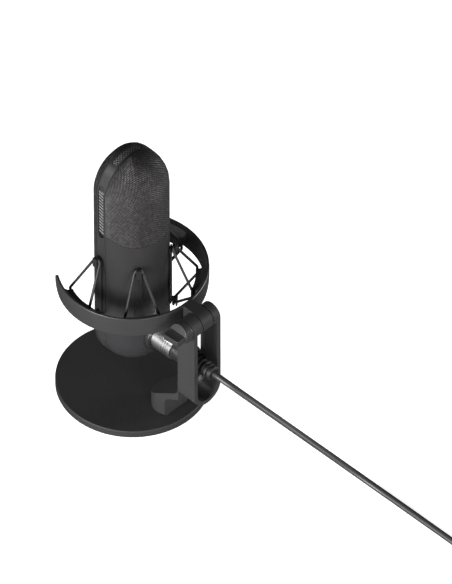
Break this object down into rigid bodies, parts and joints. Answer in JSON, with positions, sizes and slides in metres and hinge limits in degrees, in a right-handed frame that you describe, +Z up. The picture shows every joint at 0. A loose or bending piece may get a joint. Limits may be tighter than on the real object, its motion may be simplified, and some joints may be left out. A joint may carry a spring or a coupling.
{
  "type": "desktop microphone",
  "caption": "Side-address desktop microphone hung in a tilting shock ring on a forked stand with a round weighted base, wing knob and plugged-in audio lead.",
  "frame": {"origin": "centre of the base's underside, on the surface the microphone stands on", "axes": "+Z up along the microphone; -Y is the microphone's front, +Y its rear with the stand's arm and the lead; +X is the clamp knob's side"},
  "size_m": [0.1939, 0.4492, 0.2465],
  "materials": {
    "base_paint": "fine-textured powder coat",
    "stand_paint": "satin dark coat on a casting",
    "ring_shell": "satin",
    "body_paint": "satin dark coat",
    "mesh_wire": "woven mesh, dark",
    "black_plastic": "matt",
    "soft_rubber": "matt",
    "cable_jacket": "satin",
    "steel": "turned",
    "chrome": "satin nickel plate",
    "board": "solder mask",
    "brass": "turned",
    "strap_cloth": "woven hook-and-loop"
  },
  "bodies": {
    "stand": {"base_plate": "base_paint", "base_pad": "soft_rubber", "stand_bracket": "stand_paint", "base_screw_left": "steel", "base_screw_right": "steel", "hinge_nut": "steel", "hinge_washer_left": "black_plastic", "hinge_washer_right": "black_plastic", "cable": "cable_jacket", "cable_coil": "cable_jacket", "cable_tail": "cable_jacket", "coil_strap": "strap_cloth", "far_boot": "soft_rubber", "far_bushing": "black_plastic", "far_shell": "chrome", "far_insert": "black_plastic", "far_pin_1": "brass", "far_pin_2": "brass", "far_pin_3": "brass"},
    "knob": {"hinge_knob": "ring_shell", "hinge_stud": "steel"},
    "ring": {"shock_ring": "ring_shell", "elastic_band_front_left": "soft_rubber", "elastic_band_front_right": "soft_rubber", "elastic_band_rear_right": "soft_rubber", "elastic_band_rear_left": "soft_rubber"},
    "microphone": {"capsule_membrane": "steel", "side_vent_left": "black_plastic", "side_vent_right": "black_plastic", "top_vent": "black_plastic", "inner_chassis": "black_plastic", "xlr_socket": "black_plastic", "xlr_insert": "black_plastic", "xlr_bushing": "black_plastic", "rear_grille": "mesh_wire", "front_grille": "mesh_wire", "rear_shell": "body_paint", "side_band": "body_paint", "suspension_rail_front_left": "black_plastic", "suspension_rail_front_right": "black_plastic", "suspension_rail_rear_right": "black_plastic", "suspension_rail_rear_left": "black_plastic", "circuit_board": "board", "capsule_saddle": "soft_rubber", "capsule_body": "brass", "capsule_ring": "brass", "xlr_pin_1": "brass", "xlr_pin_2": "brass", "xlr_pin_3": "brass", "xlr_shell": "chrome", "xlr_boot": "soft_rubber"},
    "latch": {"xlr_latch": "steel"}
  },
  "joints": [
    {"name": "ring_tilt", "type": "hinge", "parent": "stand", "child": "ring", "pos_m": [0, 0.0719, 0.11905], "axis": [1, 0, 0], "range_deg": [-30, 15], "deforming": ["cable"]},
    {"name": "knob_turn", "type": "hinge", "parent": "stand", "child": "knob", "pos_m": [0, 0.0719, 0.11905], "axis": [1, 0, 0], "range_deg": [-180, 180]},
    {"name": "microphone_float", "type": "slide", "parent": "ring", "child": "microphone", "axis": [0, 0, 1], "range_m": [-0.0025, 0.0025], "stiffness_N_per_m": 4000, "springref_m": 0.001, "deforming": ["elastic_band_front_left", "elastic_band_front_right", "elastic_band_rear_right", "elastic_band_rear_left"]},
    {"name": "latch_press", "type": "slide", "parent": "microphone", "child": "latch", "axis": [0, 0, 1], "range_m": [0, 0.001], "stiffness_N_per_m": 600, "springref_m": -0.0006}
  ]
}
